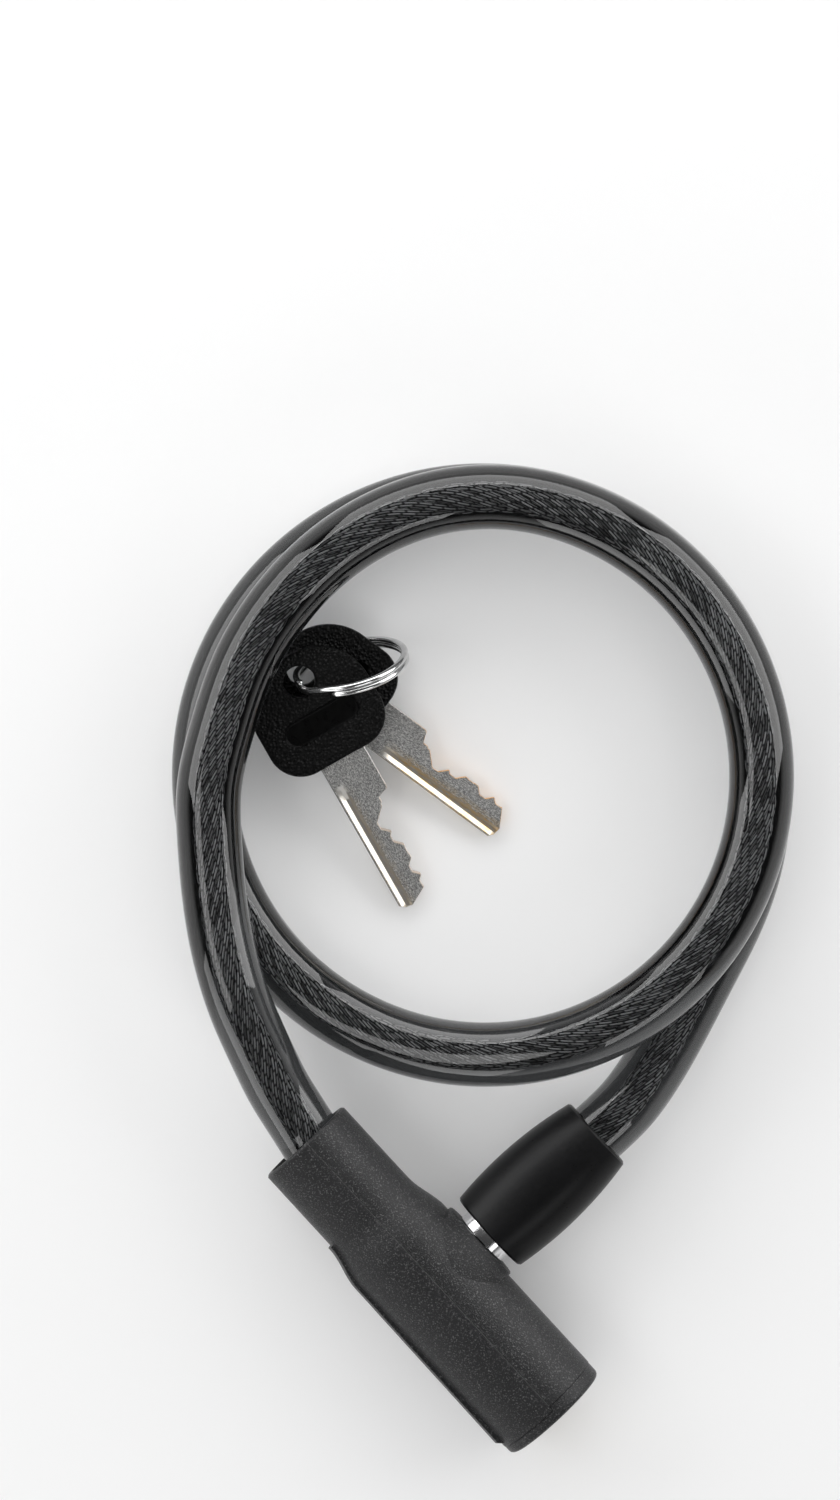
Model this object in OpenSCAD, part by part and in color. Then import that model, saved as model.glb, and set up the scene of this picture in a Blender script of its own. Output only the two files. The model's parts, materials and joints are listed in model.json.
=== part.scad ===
// Cable lock: a coiled 12 mm cable whose two ends meet in a key-operated barrel.
// The row frame has its origin on the floor at the centre of the cable's loop, +Z up.
// The barrel and the bolt are built in a lock frame: X runs from the cable's mouth to the
// keyhole, and Y runs from the barrel's axis out along the bolt, towards the head.

/* [Cable] */
// Outer diameter of the clear sleeve
cable_d = 12; // [10:0.5:13]
// Diameter of the twisted steel core
core_d = 3.8; // [2.8:0.1:5]
// Space between the core and the sleeve's bore
core_gap = 0.1; // [0.05:0.05:0.4]
// Centreline radius of the upper turn
upper_turn_r = 51.7; // [51:0.1:54]
// Centreline radius of the lower turn
lower_turn_r = 52.2; // [51:0.1:54]
// How far the upper turn is drawn in at the upper left
turn_dent = 3.3; // [0:0.1:4]
// Space between the stacked turns
stack_gap = 0.6; // [0.5:0.1:2]

/* [Barrel] */
// Length of the barrel over all
barrel_len = 68.9; // [66:0.1:80]
// Diameter of the barrel's main part
barrel_d = 22.1; // [21.5:0.1:26]
// Diameter of the neck at the cable's mouth
neck_d = 19.2; // [18:0.1:20]
// Length of the neck
neck_len = 18; // [14:0.5:19]
// Length of the flare from the neck to the main part
flare_len = 8.5; // [6:0.5:12]
// Wall left round the mouth at its rim
mouth_wall = 1.2; // [1:0.1:1.6]
// Height of the spine on the back of the barrel where it starts
spine_start_h = 0.6; // [0.3:0.05:0.9]
// Height of the spine at the collar
spine_end_h = 0.85; // [0.3:0.05:1]
// Width of the spine
spine_w = 6; // [4:0.5:8]
// Length of the collar round the keyhole
collar_len = 2.9; // [2.4:0.1:4]
// Extra length of the back shell beyond the front shell
shell_jog = 0.9; // [0:0.1:1.2]
// Gap at the parting line of the two shells
parting_gap = 0.06; // [0.02:0.02:0.2]
// Angle by which the parting line lies off the top, towards the head
parting_turn = 4.5; // [0:0.5:8]
// Diameter of the round boss under the bolt's flange
boss_d = 16.6; // [14:0.2:18]
// Height of the boss face above the barrel's axis
boss_face = 11.7; // [11.4:0.1:13]
// Radius of the blend round the foot of the boss
boss_blend = 1.6; // [0.8:0.1:2]
// Heading of the barrel in the row frame, from its mouth to its keyhole
barrel_angle = -47.4; // [-60:0.1:-35]

/* [Lock case] */
// Diameter of the die-cast case
case_d = 17.8; // [17:0.1:18.2]
// Diameter of the case's stepped front end
case_front_d = 16.4; // [14:0.1:16.8]
// Distance from the mouth to the case
case_start = 20.6; // [20:0.1:22]
// Distance from the mouth to the end of the case's stepped front
case_step = 27; // [26:0.1:28]
// Clearance between the covers and what they enclose
cover_gap = 0.1; // [0.05:0.05:0.3]

/* [Anchor] */
// Diameter of the ferrule's stem
anchor_d = 8; // [7:0.1:9]
// Length of the ferrule's stem
anchor_len = 8.3; // [7.5:0.1:8.6]
// Diameter of the ferrule's flange
anchor_flange_d = 12; // [10:0.1:12.4]
// Thickness of the ferrule's flange
anchor_flange_t = 1.5; // [1:0.1:1.6]
// Depth of the core in the ferrule
core_grip = 4.4; // [3:0.1:4.6]
// Diameter of the cross pin through the ferrule
anchor_pin_d = 2.5; // [2:0.1:2.8]

/* [Bolt] */
// Distance from the mouth to the bolt's axis
bolt_x = 35.7; // [35.4:0.1:37]
// Diameter of the bolt
bolt_d = 7; // [6:0.1:7.4]
// Depth of the bolt's tip below the barrel's axis
bolt_depth = 6; // [5:0.1:6.5]
// Diameter of the bolt at its groove
groove_d = 4.4; // [3.5:0.1:4.6]
// Diameter of the bolt's flange
flange_d = 11; // [10:0.1:13]
// Thickness of the bolt's flange
flange_t = 1.8; // [1.4:0.1:3]
// Diameter of the bolt's rear part
tail_d = 10; // [9:0.1:11]
// Running clearance on the bolt's radius
bolt_gap = 0.1; // [0.06:0.02:0.3]

/* [Head] */
// Length of the head's cover
head_len = 27.3; // [24:0.1:34]
// Diameter of the head at its lock side
head_front_d = 16.7; // [15.5:0.1:18]
// Diameter of the head at its fullest
head_full_d = 18.3; // [17:0.1:20]
// Diameter of the head at its cable side
head_rear_d = 15; // [14.4:0.1:17]
// Depth to which the sleeve enters the head
sleeve_grip = 8.1; // [6:0.1:10]
// Length of the swaged sleeve in the bolt's tail
crimp_len = 14; // [10:0.1:14.4]
// Diameter of the swaged sleeve
crimp_d = 6.8; // [6:0.1:7.2]

/* [Plug and slider] */
// Diameter of the plug
plug_d = 10.9; // [10.4:0.1:11.2]
// Running clearance on the plug's radius
plug_gap = 0.05; // [0.02:0.01:0.1]
// Diameter of the plug's face
plug_face_d = 13; // [12:0.1:14]
// Thickness of the plug's face
plug_face_t = 2.2; // [2:0.1:2.4]
// Distance from the mouth to the plug's inner end
plug_start = 46; // [45.8:0.1:46.2]
// Thickness of the plug's wall beyond the keyway
plug_floor = 0.4; // [0.2:0.1:0.4]
// Clearance of the key and the wafers in the plug
key_gap = 0.1; // [0.05:0.05:0.15]
// Distance of the driving pin from the plug's axis
crank_r = 2; // [1.8:0.1:2.1]
// Diameter of the driving pin
crank_pin_d = 2; // [1.6:0.1:2.1]
// Thickness of the slider's plate
slider_t = 2.4; // [1.6:0.1:2.6]
// Sliding clearance round the slider
slider_gap = 0.1; // [0.05:0.05:0.2]
// Clearance of the slider's window round the bolt
window_gap = 0.3; // [0.15:0.05:0.4]
// Distance from wafer to wafer, and from cut to cut on the key
wafer_pitch = 3.4; // [3.2:0.05:3.45]
// Thickness of a wafer
wafer_t = 1; // [0.6:0.1:1.1]
// Width of a wafer
wafer_w = 4.8; // [4:0.1:5.2]
// Diameter of the retaining pin
retainer_d = 1.4; // [1.2:0.1:1.5]

/* [Keys] */
// Width of the key's bow
bow_w = 23.6; // [22:0.2:26]
// Length of the key's bow
bow_len = 22.1; // [21:0.1:24]
// Thickness of the key's bow
bow_t = 2.8; // [2.4:0.1:3]
// Distance from the ring's hole to the bow's end
bow_end = 5.3; // [4.5:0.1:5.6]
// Diameter of the ring's hole
bow_hole_d = 6; // [5.6:0.1:6.4]
// Depth of the oval recess in the bow
recess_depth = 0.35; // [0.2:0.05:0.5]
// Width of the key's shank
shank_w = 9.2; // [8:0.1:10]
// Length of the key's shank outside the bow
shank_len = 9.2; // [6:0.1:10]
// Width of the key's blade
blade_w = 6.6; // [6:0.1:6.7]
// Length of the key outside its bow
blade_len = 31; // [29:0.5:33]
// Thickness of the blade
blade_t = 2; // [1.6:0.1:2.1]
// Distance from the shank's shoulder to the first cut
first_cut = 5.4; // [5.2:0.1:5.6]
// Width of a cut at its root
cut_root = 1.4; // [0.8:0.1:1.6]
// Depths of the cuts, from the shank to the tip, one for each wafer
cut_depths = [2.35, 1.4, 0.1, 1.15, 0.75];

/* [Key ring] */
// Outer diameter of the split ring
ring_d = 22; // [20:0.5:26]
// Radial width of the ring's wire
wire_w = 1.3; // [0.8:0.1:1.4]
// Thickness of the ring's wire
wire_t = 1.05; // [0.8:0.05:1.1]
// Space between the ring's two turns
wire_gap = 0.06; // [0.04:0.01:0.2]

/* [Hidden] */
$fn = 64;
eps = 0.01;
contact = 0.05;

barrel_r = barrel_d / 2;
neck_r = neck_d / 2;
axis_z = barrel_r;
mouth = [-32.8, -68.0];

mouth_bore_r = neck_r - mouth_wall;
cable_bore_r = cable_d / 2 + 0.3;
mouth_depth = 10;
core_bore_r = core_d / 2 + core_gap;
anchor_end = case_start - anchor_flange_t - contact;
sleeve_start = anchor_end - contact;
anchor_pin_x = anchor_end + core_grip + 0.2 + anchor_pin_d / 2 + 0.9;
collar_x = barrel_len - collar_len;
case_end = collar_x - contact;
plug_face_x = collar_x + contact;

slider_travel = 2 * crank_r * sin(45);
window_r = bolt_d / 2 + window_gap;
slot_r = groove_d / 2 + window_gap;
window_rim = 1.1;
fork_x = plug_start - 2.1;
fork_t = 1.6;
fork_low = 1.5;
fork_high = 3.7;
fork_half = crank_pin_d / 2 + 0.15 + 1.2;

head_y = boss_face + 2 * bolt_gap + flange_t + bolt_gap;
head_end = head_y + head_len;
sleeve_end = head_end - sleeve_grip;
tail_end = sleeve_end - bolt_gap;
crimp_start = tail_end - crimp_len;

// The wafers stand where the cuts of a key that is pushed home come to lie.
plug_front = plug_face_x + plug_face_t;
wafer_x = [for (i = [0:len(cut_depths) - 1]) plug_front - first_cut - i * wafer_pitch];
wafer_h = plug_d / 2 - key_gap;
retainer_x = collar_x - 1.2;
retainer_groove_r = plug_d / 2 - 1.15;
retainer_y = retainer_groove_r + retainer_d / 2 + 0.1;
lug_w = 1.6;
wafer_drop = 1.4;
spring_r = 0.4;
spring_wire_r = 0.12;
lug_top = 2.8;
spring_foot = 2.35;

low_z = cable_d / 2;
high_z = low_z + cable_d + stack_gap;

ring_r = ring_d / 2 - wire_w / 2;
ring_lean = 24;
ring_yaw = 13.8;
ring_centre = [-24.2, 20.4, 10.8];
// Each key: where its ring hole is, its heading and how steeply it slopes to the floor.
key_hole = [[-33.9, 17.7, 11.5], [-33.4, 20.1, 6.4]];
key_heading = [-60.5, -36.5];
key_slope = [12.2, 6.2];

black = "#2b2c2e";
dark = "#1b1c1e";
zinc = "#a9abad";
steel = "#c9cccf";
brass = "#c8a85a";

// ---- Helpers -------------------------------------------------------------------------

// Places what is modelled in the lock frame.
module in_lock() {
    translate([mouth[0], mouth[1], axis_z]) rotate([0, 0, barrel_angle]) children();
}

// A point of the lock frame, in the row frame.
function lock_point(x, y) = [
    mouth[0] + x * cos(barrel_angle) - y * sin(barrel_angle),
    mouth[1] + x * sin(barrel_angle) + y * cos(barrel_angle),
    axis_z];

// Cylinders along the lock frame's axes.
module rod_x(r, x0, x1) {
    translate([x0, 0, 0]) rotate([0, 90, 0]) cylinder(r = r, h = x1 - x0);
}
module rod_y(r, y0, y1) {
    translate([0, y0, 0]) rotate([-90, 0, 0]) cylinder(r = r, h = y1 - y0);
}
module rod_z(r, z0, z1) {
    translate([0, 0, z0]) cylinder(r = r, h = z1 - z0);
}
// A block between two corners.
module block(low, high) {
    translate(low) cube(high - low);
}

function unit(v) = v / norm(v);
function ease(t) = t <= 0 ? 0 : t >= 1 ? 1 : t * t * (3 - 2 * t);

// Direction of a path at one of its points.
function heading(path, i) =
    unit(path[min(i + 1, len(path) - 1)] - path[max(i - 1, 0)]);
// A ring of points round a path, for a section given as a list of [side, up] points.
function ring_points(path, i, section) =
    let (t = heading(path, i), s = unit(cross(t, [0, 0, 1])), u = cross(s, t))
    [for (p = section) path[i] + p[0] * s + p[1] * u];
function round_section(r, sides) =
    [for (k = [0:sides - 1]) r * [cos(360 * k / sides), sin(360 * k / sides)]];

// Triangles between two neighbouring rings of n points, whose first points are a and b.
function band(a, b, n, out) = [for (k = [0:n - 1]) let (m = (k + 1) % n)
    each out ? [[a + k, b + m, b + k], [a + k, a + m, b + m]]
             : [[a + k, b + k, b + m], [a + k, b + m, a + m]]];

// A solid rod swept along a path.
module swept_rod(path, section) {
    n = len(section);
    last = len(path) - 1;
    polyhedron(
        points = [for (i = [0:last]) each ring_points(path, i, section)],
        faces = concat(
            [for (i = [0:last - 1]) each band(i * n, i * n + n, n, true)],
            [for (k = [1:n - 2]) [0, k + 1, k]],
            [for (k = [1:n - 2]) [last * n, last * n + k, last * n + k + 1]]));
}

// A hollow tube swept along a path.
module swept_tube(path, r_out, r_in, sides) {
    n = sides;
    last = len(path) - 1;
    inner = (last + 1) * n;
    polyhedron(
        points = concat(
            [for (i = [0:last]) each ring_points(path, i, round_section(r_out, n))],
            [for (i = [0:last]) each ring_points(path, i, round_section(r_in, n))]),
        faces = concat(
            [for (i = [0:last - 1]) each band(i * n, i * n + n, n, true)],
            [for (i = [0:last - 1]) each band(inner + i * n, inner + i * n + n, n, false)],
            band(0, inner, n, false),
            band(last * n, inner + last * n, n, true)));
}

// ---- Cable ---------------------------------------------------------------------------

// The cable's way from the mouth onto the upper turn: x, y and its height between the
// lower turn (0) and the upper turn (1).
lead_in = [
    [-32.0, -67.2, 0.40], [-35.0, -62.4, 0.45], [-37.8, -57.7, 0.55], [-40.1, -52.9, 0.67],
    [-42.3, -48.0, 0.79], [-44.3, -43.2, 0.90], [-46.0, -38.2, 0.97], [-47.4, -33.0, 1.00],
    [-49.2, -23.0, 1.00], [-50.2, -12.0, 1.00], [-50.2, -1.5, 1.00]];
// Its way from the lower turn to the head.
lead_out = [
    [52.0, -8.0, 0.00], [49.9, -19.0, 0.00], [46.0, -29.0, 0.00], [41.2, -38.3, 0.00],
    [37.5, -45.3, 0.05], [33.5, -52.3, 0.16], [29.9, -57.7, 0.29], [26.9, -61.4, 0.38]];
function raised(p) = [p[0], p[1], low_z + p[2] * (high_z - low_z)];

// Between them it winds clockwise: once round on the upper level, down along the front,
// and round again on the lower level.
turn_from = 170;
turn_to = -352;
turn_steps = 36;
drop_from = -50;
drop_to = -130;
function drop(a) = ease((drop_from - a) / (drop_from - drop_to));
function dent(a) = abs(a - 155) < 75 ? turn_dent * pow(cos(90 * (a - 155) / 75), 2) : 0;
function turn_r(a) =
    (1 - drop(a)) * (upper_turn_r - dent(a)) + drop(a) * (lower_turn_r + 0.5 * cos(a - 40));
function turn_point(a) =
    [turn_r(a) * cos(a), turn_r(a) * sin(a), high_z - drop(a) * (high_z - low_z)];

// Each end runs straight for a diameter before it bends.
route = concat(
    [for (x = [0, 0.5, 1]) lock_point(sleeve_start - x * cable_d, 0)],
    [for (p = lead_in) raised(p)],
    [for (i = [0:turn_steps]) turn_point(turn_from + i * (turn_to - turn_from) / turn_steps)],
    [for (p = lead_out) raised(p)],
    [for (x = [1, 0.5, 0]) lock_point(bolt_x, sleeve_end + x * cable_d)]);
core_route = concat(
    [lock_point(anchor_end + core_grip, 0)], route,
    [lock_point(bolt_x, crimp_start + 0.5)]);

route_len = [for (i = [0:len(route) - 2]) norm(route[i + 1] - route[i])];
function total(v, i = 0) = i < len(v) ? v[i] + total(v, i + 1) : 0;
fine_steps = 3;
fine_route = [for (i = [0:len(route) - 2]) for (k = [0:fine_steps - 1])
    route[i] + (route[i + 1] - route[i]) * k / fine_steps];
near_steps = 12;
self_gap = min([for (i = [0:len(fine_route) - 1 - near_steps])
    for (j = [i + near_steps:len(fine_route) - 1]) norm(fine_route[i] - fine_route[j])]) - cable_d;
echo(sleeve_length = total(route_len), least_gap_between_turns = self_gap);

module cable_sleeve() {
    color("#3a3d40", 0.55) swept_tube(route, cable_d / 2, core_bore_r + 0.1, 12);
}

module cable_core() {
    color("#6d7073") swept_rod(core_route, round_section(core_d / 2, 8));
}

module cable_anchor() {
    color(steel) in_lock() difference() {
        union() {
            rod_x(anchor_d / 2, case_start - eps, case_start + anchor_len);
            rod_x(anchor_flange_d / 2, anchor_end, case_start - contact);
            rod_x(anchor_d / 2, case_start - 2 * contact, case_start);
        }
        rod_x(core_bore_r, 0, anchor_end + core_grip + 0.2);
        translate([anchor_pin_x, 0, 0]) rod_z(anchor_pin_d / 2 + 0.02, -case_d, case_d);
    }
}
module anchor_pin() {
    color(zinc) in_lock() translate([anchor_pin_x, 0, 0])
        rod_z(anchor_pin_d / 2, -case_front_d / 2 + 0.3, case_front_d / 2 - 0.3);
}

// ---- Barrel --------------------------------------------------------------------------

// Outside radius of the covers at a distance from the mouth.
function cover_r(x) = neck_r + (barrel_r - neck_r) * ease((x - neck_len) / flare_len);
flare_steps = 10;
rim = 0.4;
function cover_outline(end) = concat(
    [[0, 0], [neck_r - rim, 0], [neck_r, rim]],
    [for (i = [0:flare_steps]) let (x = neck_len + flare_len * i / flare_steps) [cover_r(x), x]],
    [[barrel_r, end], [0, end]]);
// The spine rises from the neck to the collar, and its end is bevelled.
function spine_outline(end) = concat(
    [[0, neck_len - rim], [neck_r + spine_start_h, neck_len - rim]],
    [for (i = [0:flare_steps]) let (x = neck_len + flare_len * i / flare_steps)
        [cover_r(x) + spine_start_h, x]],
    [[barrel_r + spine_end_h, end - spine_end_h - 2 * rim], [barrel_r - rim, end - rim],
     [0, end - rim]]);

// A solid of revolution about the lock frame's X axis, from [radius, x] points.
module turned_x(outline) {
    rotate([0, 90, 0]) rotate_extrude() polygon(outline);
}

module cover_cavity() {
    turned_x([
        [0, -1], [mouth_bore_r + 0.1, -1], [mouth_bore_r, 0], [cable_bore_r, mouth_depth],
        [cable_bore_r, case_start], [case_front_d / 2 + cover_gap, case_start],
        [case_front_d / 2 + cover_gap, case_step], [case_d / 2 + cover_gap, case_step],
        [case_d / 2 + cover_gap, barrel_len], [0, barrel_len]]);
}

// Turns the parting plane and the spine about the barrel's axis.
module parted() {
    rotate([-parting_turn, 0, 0]) children();
}

// The back shell, with its spine.
module cover_left() {
    end = collar_x + shell_jog - contact;
    color(black) in_lock() difference() {
        union() {
            turned_x(cover_outline(end));
            parted() intersection() {
                turned_x(spine_outline(end));
                block([0, -barrel_d, -spine_w / 2], [barrel_len, 0, spine_w / 2]);
            }
        }
        cover_cavity();
        parted() block([-1, -parting_gap / 2, -barrel_d], [barrel_len + 1, barrel_d, barrel_d]);
    }
}

// The boss: a disc with a rounded foot, from [radius, height] points.
function boss_outline() = let (r = boss_d / 2, foot = boss_face - boss_blend - rim) concat(
    [[0, 1], [r + boss_blend, 1]],
    [for (a = [0:18:90]) [r + boss_blend * (1 - sin(a)), foot + boss_blend * (1 - cos(a))]],
    [[r, boss_face - rim / 2], [r - rim / 2, boss_face], [0, boss_face]]);

// The front shell, with the boss and the hole for the bolt.
module cover_right() {
    color(black) in_lock() difference() {
        union() {
            turned_x(cover_outline(collar_x - contact));
            translate([bolt_x, 0, 0]) rotate([-90, 0, 0]) rotate_extrude() polygon(boss_outline());
        }
        cover_cavity();
        translate([bolt_x, 0, 0]) rod_y(bolt_d / 2 + bolt_gap + 0.5, 0, barrel_d);
        parted() block([-1, -barrel_d, -barrel_d], [barrel_len + 1, parting_gap / 2, barrel_d]);
    }
}

// The collar closes both shells and rings the plug.
module end_collar() {
    round_r = 0.9;
    arc_steps = 5;
    color(black) in_lock() difference() {
        turned_x(concat(
            [[plug_face_d / 2 + 0.2, collar_x], [barrel_r - 0.1, collar_x]],
            [for (i = [0:arc_steps]) let (a = 90 * i / arc_steps)
                [barrel_r - 0.1 - round_r * (1 - cos(a)), barrel_len - round_r * (1 - sin(a))]],
            [[plug_face_d / 2 + 0.6, barrel_len], [plug_face_d / 2 + 0.2, barrel_len - 0.4]]));
        parted() block([collar_x - 1, -barrel_d, -barrel_d], [collar_x + shell_jog, 0, barrel_d]);
    }
}

module lock_housing() {
    channel = slider_t / 2 + slider_gap;
    color(zinc) in_lock() difference() {
        union() {
            rod_x(case_front_d / 2, case_start, case_step);
            rod_x(case_d / 2, case_step + cover_gap, case_end);
            rod_x(case_front_d / 2, case_start, case_step + 1);
        }
        // Socket of the ferrule and the hole of its pin
        rod_x(anchor_d / 2 + contact, case_start - 1, case_start + anchor_len + 0.2);
        translate([anchor_pin_x, 0, 0]) rod_z(anchor_pin_d / 2 + 0.02, -case_d, case_d);
        // Bore of the bolt
        translate([bolt_x, 0, 0]) rod_y(bolt_d / 2 + bolt_gap, -bolt_depth - 0.5, case_d);
        // Channel of the slider, open towards the top, and the way in for its fork
        block([bolt_x - window_r - window_rim - 2 * slider_gap, -channel,
               -slider_travel - slot_r - window_rim - 2 * slider_gap],
              [plug_start, channel, case_d]);
        block([fork_x - slider_gap, -fork_low - slider_gap, -slider_travel / 2 - fork_half],
              [plug_start, fork_high + slider_gap, case_d]);
        // Bore of the plug
        rod_x(plug_d / 2 + plug_gap, fork_x - slider_gap, barrel_len);
        // Grooves that the wafers drop into when no key is in
        block([min(wafer_x) - wafer_t, -wafer_w / 2 - key_gap, -plug_d / 2 - wafer_drop],
              [max(wafer_x) + wafer_t, wafer_w / 2 + key_gap, plug_d / 2 + wafer_drop]);
        // Hole of the plug's retaining pin
        translate([retainer_x, -retainer_y, 0]) rod_z(retainer_d / 2 + 0.02, -case_d, case_d);
    }
}
module plug_retaining_pin() {
    color(steel) in_lock() translate([retainer_x, -retainer_y, 0])
        rod_z(retainer_d / 2, -5.5, 5.5);
}

// ---- Plug and slider -----------------------------------------------------------------

module plug() {
    keyway_h = blade_w / 2 + key_gap;
    slot_x = wafer_t / 2 + key_gap;
    color(brass) in_lock() difference() {
        union() {
            rod_x(plug_d / 2, plug_start, plug_face_x + 0.5);
            rod_x(plug_face_d / 2, plug_face_x, plug_face_x + plug_face_t);
            translate([0, slider_travel / 2, -slider_travel / 2])
                rod_x(crank_pin_d / 2, fork_x + 0.3, plug_start + 1);
        }
        block([plug_start + plug_floor, -blade_t / 2 - key_gap, -keyway_h],
              [barrel_len, blade_t / 2 + key_gap, keyway_h]);
        for (x = wafer_x) translate([x, 0, 0]) {
            block([-slot_x, -wafer_w / 2 - key_gap / 2, -plug_d],
                  [slot_x, wafer_w / 2 + key_gap / 2, plug_d]);
            block([-slot_x, 0, -spring_foot - spring_wire_r - key_gap],
                  [slot_x, wafer_w / 2 + lug_w + key_gap, lug_top + 2 * key_gap]);
        }
        // Groove of the retaining pin
        difference() {
            rod_x(plug_d, retainer_x - retainer_d / 2 - key_gap, retainer_x + retainer_d / 2 + key_gap);
            rod_x(retainer_groove_r, 0, barrel_len);
        }
    }
}

// One wafer: a plate with a window for the blade and a lug for its spring.
module wafer() {
    difference() {
        union() {
            intersection() {
                block([-wafer_t / 2, -wafer_w / 2, -plug_d], [wafer_t / 2, wafer_w / 2, plug_d]);
                rod_x(wafer_h, -wafer_t, wafer_t);
            }
            block([-wafer_t / 2, 0, lug_top - 1], [wafer_t / 2, wafer_w / 2 + lug_w, lug_top]);
        }
        block([-wafer_t, -blade_t / 2 - key_gap, -blade_w / 2 - 2 * key_gap],
              [wafer_t, blade_t / 2 + key_gap, blade_w / 2 + 2 * key_gap]);
    }
}

module wafers() {
    color(brass) in_lock() for (x = wafer_x) translate([x, 0, 0]) wafer();
}

module wafer_springs() {
    turns = 3;
    steps = turns * 8;
    height = lug_top - 1 + spring_foot - 2 * spring_wire_r - contact;
    coil = [for (i = [0:steps]) let (a = 360 * turns * i / steps)
        [spring_r * cos(a), spring_r * sin(a), height * i / steps]];
    color(steel) in_lock() for (x = wafer_x)
        translate([x, (wafer_w + lug_w) / 2 + key_gap, -spring_foot])
            swept_rod(coil, round_section(spring_wire_r, 6));
}

// The plate's big window lets the bolt through, and its slot catches the bolt's groove.
module locking_slider() {
    plate_x = bolt_x - window_r - window_rim;
    slot_z = -slider_travel;
    color(zinc) in_lock() difference() {
        union() {
            block([plate_x, -slider_t / 2, slot_z - slot_r - window_rim],
                  [fork_x + 0.1, slider_t / 2, window_r + window_rim]);
            block([fork_x, -fork_low, slot_z / 2 - fork_half],
                  [fork_x + fork_t, fork_high, slot_z / 2 + fork_half]);
        }
        translate([bolt_x, 0, 0]) rod_y(window_r, -slider_t, slider_t);
        translate([bolt_x, 0, slot_z]) rod_y(slot_r, -slider_t, slider_t);
        block([bolt_x - slot_r, -slider_t, slot_z], [bolt_x + slot_r, slider_t, 0]);
        block([fork_x + 0.1, slider_travel / 2 - crank_pin_d / 2 - 0.15,
               slot_z / 2 - crank_pin_d / 2 - 0.15],
              [plug_start, case_d, slot_z / 2 + crank_pin_d / 2 + 0.15]);
    }
}

// ---- Head ----------------------------------------------------------------------------

// A solid of revolution about the bolt's axis, from [radius, y] points.
module turned_bolt(outline) {
    in_lock() translate([bolt_x, 0, 0]) rotate([-90, 0, 0]) rotate_extrude() polygon(outline);
}

// Radius of the head at a share t of its length: a parabola through its three diameters.
full_at = 0.45;
bulge = (head_full_d - head_front_d - full_at * (head_rear_d - head_front_d))
    / (2 * full_at * (1 - full_at));
function head_r(t) = head_front_d / 2 + t * (head_rear_d - head_front_d) / 2 + bulge * t * (1 - t);

module head_cover() {
    steps = 16;
    edge = 0.35;
    color(dark) turned_bolt(concat(
        [[tail_d / 2 + bolt_gap, head_y], [head_r(0) - edge, head_y]],
        [for (i = [0:steps]) let (t = (edge + (head_len - 2 * edge) * i / steps) / head_len)
            [head_r(t), head_y + t * head_len]],
        [[head_r(1) - edge, head_end], [cable_d / 2 + 0.15, head_end],
         [cable_d / 2 + 0.15, sleeve_end - contact], [tail_d / 2 + bolt_gap, sleeve_end - contact]]));
}

module locking_bolt() {
    tip = 1;
    seat = slider_t / 2 + window_gap;
    flange_y = boss_face + 2 * bolt_gap;
    color(steel) turned_bolt([
        [0, -bolt_depth], [bolt_d / 2 - tip, -bolt_depth], [bolt_d / 2, -bolt_depth + tip],
        [bolt_d / 2, -seat], [groove_d / 2, -seat], [groove_d / 2, seat], [bolt_d / 2, seat],
        [bolt_d / 2, flange_y], [flange_d / 2, flange_y], [flange_d / 2, flange_y + flange_t],
        [tail_d / 2, flange_y + flange_t], [tail_d / 2, tail_end],
        [crimp_d / 2 + contact, tail_end], [crimp_d / 2 + contact, crimp_start - contact],
        [0, crimp_start - contact]]);
}

module crimp_sleeve() {
    color(zinc) turned_bolt([
        [core_bore_r, crimp_start], [crimp_d / 2, crimp_start], [crimp_d / 2, tail_end],
        [core_bore_r, tail_end]]);
}

// ---- Keys ----------------------------------------------------------------------------

// A split ring is wound almost twice; it steps to its second turn over an eighth of a turn.
ring_turn = 675;
jog_from = 315;
function ring_rise(a) = (wire_t + wire_gap) * (ease((a - jog_from) / (360 - jog_from)) - 0.5);
ring_steps = 60;
ring_section = [for (k = [0:7]) let (a = 22.5 + 45 * k)
    [wire_w / 2 * min(1, max(-1, 1.3 * cos(a))), wire_t / 2 * min(1, max(-1, 1.3 * sin(a)))]];

module split_ring() {
    path = [for (i = [0:ring_steps]) let (a = ring_turn * i / ring_steps)
        [ring_r * cos(a), ring_r * sin(a), ring_rise(a)]];
    color(steel) translate(ring_centre) rotate([0, 0, ring_yaw]) rotate([90 + ring_lean, 0, 0])
        rotate([0, 0, 160]) swept_rod(path, ring_section);
}

// Places a key whose ring hole is at the origin, its blade along X and its cuts towards +Y.
module at_key(i) {
    translate(key_hole[i]) rotate([0, 0, key_heading[i]]) rotate([0, key_slope[i], 0]) children();
}
bow_front = bow_len - bow_end;
tang_len = 5.4;
tang_w = 7;

// The bow's corner: a disc with bevelled edges.
module bow_corner(r) {
    bevel = 0.6;
    rotate_extrude($fn = 32) polygon([
        [0, -bow_t / 2], [r - bevel, -bow_t / 2], [r, -bow_t / 2 + bevel],
        [r, bow_t / 2 - bevel], [r - bevel, bow_t / 2], [0, bow_t / 2]]);
}

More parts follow.
